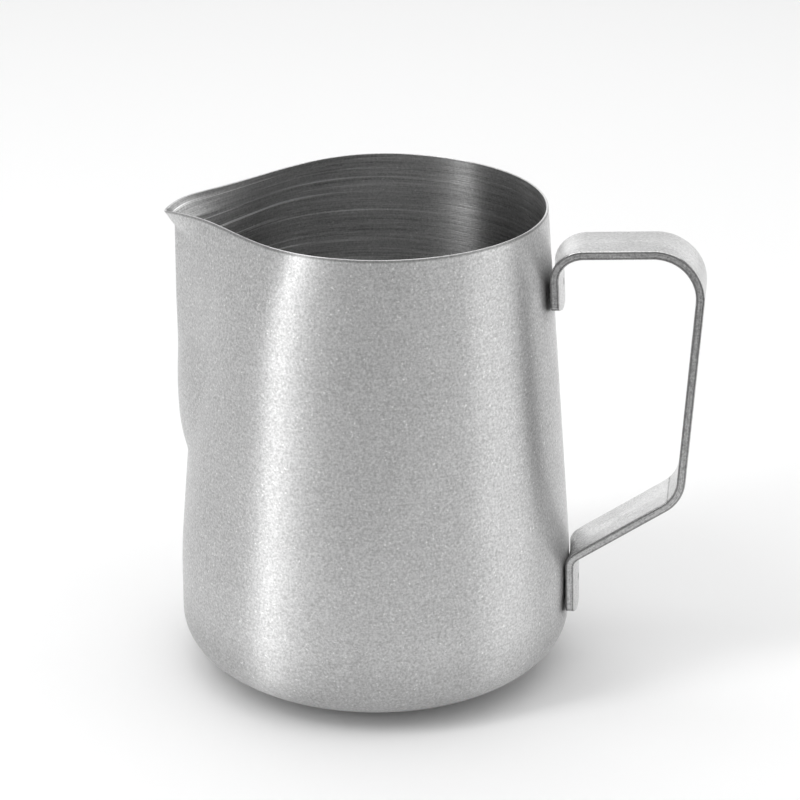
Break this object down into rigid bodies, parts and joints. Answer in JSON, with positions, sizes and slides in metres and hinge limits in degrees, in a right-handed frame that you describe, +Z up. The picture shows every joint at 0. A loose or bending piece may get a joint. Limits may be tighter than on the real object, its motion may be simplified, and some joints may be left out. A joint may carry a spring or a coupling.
{
  "type": "milk frothing pitcher",
  "caption": "Tapered steel milk frothing pitcher with a pressed V spout and a bent strip handle welded to its side.",
  "frame": {"origin": "centre of the flat base, on the surface the pitcher stands on", "axes": "+Z up, +X towards the handle, the pouring spout along -X, Y across"},
  "size_m": [0.1209, 0.09, 0.1093],
  "materials": {
    "shell_steel": "fine satin stainless sheet, turned polish rings inside",
    "handle_steel": "satin strip with deburred edges",
    "weld_steel": "dull resistance weld"
  },
  "bodies": {
    "root": {"pitcher_body": "shell_steel", "handle": "handle_steel", "upper_weld": "weld_steel", "lower_weld": "weld_steel"}
  },
  "joints": []
}
